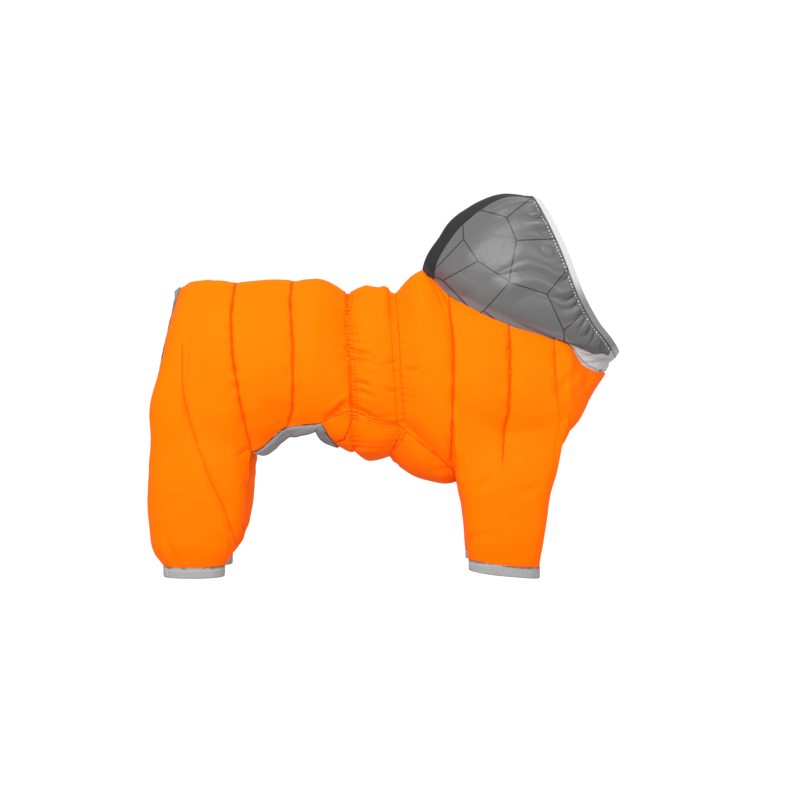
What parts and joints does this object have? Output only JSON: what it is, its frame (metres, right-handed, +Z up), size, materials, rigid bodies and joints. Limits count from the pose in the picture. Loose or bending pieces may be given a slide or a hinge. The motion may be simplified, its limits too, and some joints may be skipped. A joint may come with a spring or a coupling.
{
  "type": "dog jumpsuit",
  "caption": "Padded dog jumpsuit with trouser legs, sleeves and a wide collar hood, hollow and in its worn shape.",
  "frame": {"origin": "middle of the back on the inside of the zip, where the garment hangs on its wearer's back", "axes": "+X to the head, +Y to the wearer's left, +Z up"},
  "size_m": [0.5141, 0.1608, 0.4106],
  "materials": {
    "orange_shell": "soft sheen",
    "grey_hood": "soft sheen",
    "dark_hood": "soft sheen",
    "light_grey_cloth": "matte",
    "grey_binding": "matte",
    "cuff_elastic": "matte",
    "zip_tape": "matte",
    "zip_metal": "satin",
    "zip_pull": "matte"
  },
  "bodies": {
    "garment": {"body_rear_right": "orange_shell", "body_rear_left": "orange_shell", "hind_leg_right": "orange_shell", "hind_leg_left": "orange_shell", "chest_right": "orange_shell", "chest_left": "orange_shell", "belly_rear": "orange_shell", "belly_front": "orange_shell", "opening_binding": "grey_binding", "cuff_hind_right": "cuff_elastic", "cuff_hind_left": "cuff_elastic", "cuff_front_right": "cuff_elastic", "cuff_front_left": "cuff_elastic", "hood_centre": "dark_hood", "hood_right": "grey_hood", "hood_left": "grey_hood", "hood_chin": "light_grey_cloth", "hood_binding": "light_grey_cloth", "zip_tape": "zip_tape", "zip_slider": "zip_metal"},
    "pull_tab": {"zip_pull": "zip_pull"}
  },
  "joints": [
    {"name": "pull_tab_hinge", "type": "hinge", "parent": "garment", "child": "pull_tab", "pos_m": [0.0409, 0, 0.01609], "axis": [0, 1, 0], "range_deg": [0, 140]}
  ]
}
